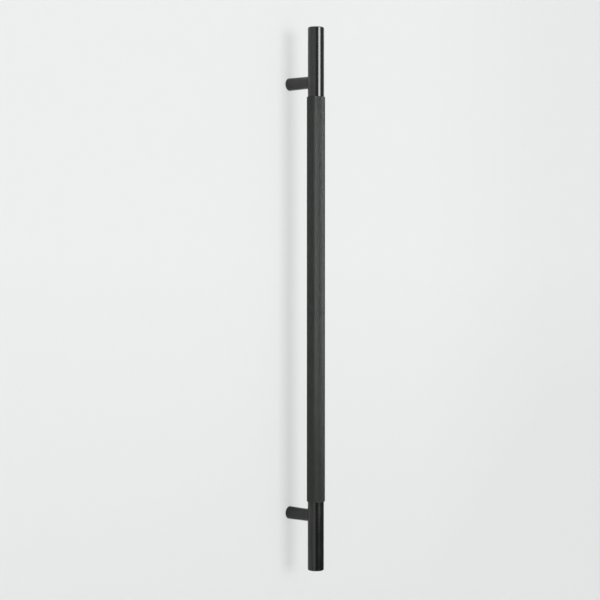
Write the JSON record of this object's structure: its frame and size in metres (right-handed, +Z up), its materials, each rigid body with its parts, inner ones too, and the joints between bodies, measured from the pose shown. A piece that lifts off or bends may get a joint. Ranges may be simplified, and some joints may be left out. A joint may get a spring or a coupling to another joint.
{
  "type": "door pull handle",
  "caption": "Slim vertical T-bar pull handle in satin black, with a fatter, finely fluted matte grip sleeve along the middle of the bar and tapered posts that fix through a door from behind.",
  "frame": {"origin": "on the door's face, midway between the two fixing holes", "axes": "+Z up along the bar, +Y into the door, -Y out towards the hand, +X to the right as seen from the front"},
  "size_m": [0.0134, 0.0327, 0.4],
  "materials": {
    "satin_black": "satin black coating, smooth, with a crisp narrow highlight",
    "matte_black_grip": "matte black coating over fine straight flutes of 0.8 mm pitch, with a soft broad sheen",
    "stud_steel": "plain machined steel"
  },
  "bodies": {
    "root": {"bar": "satin_black", "grip_sleeve": "matte_black_grip", "upper_post": "satin_black", "lower_post": "satin_black", "upper_stud": "stud_steel", "lower_stud": "stud_steel"}
  },
  "joints": []
}
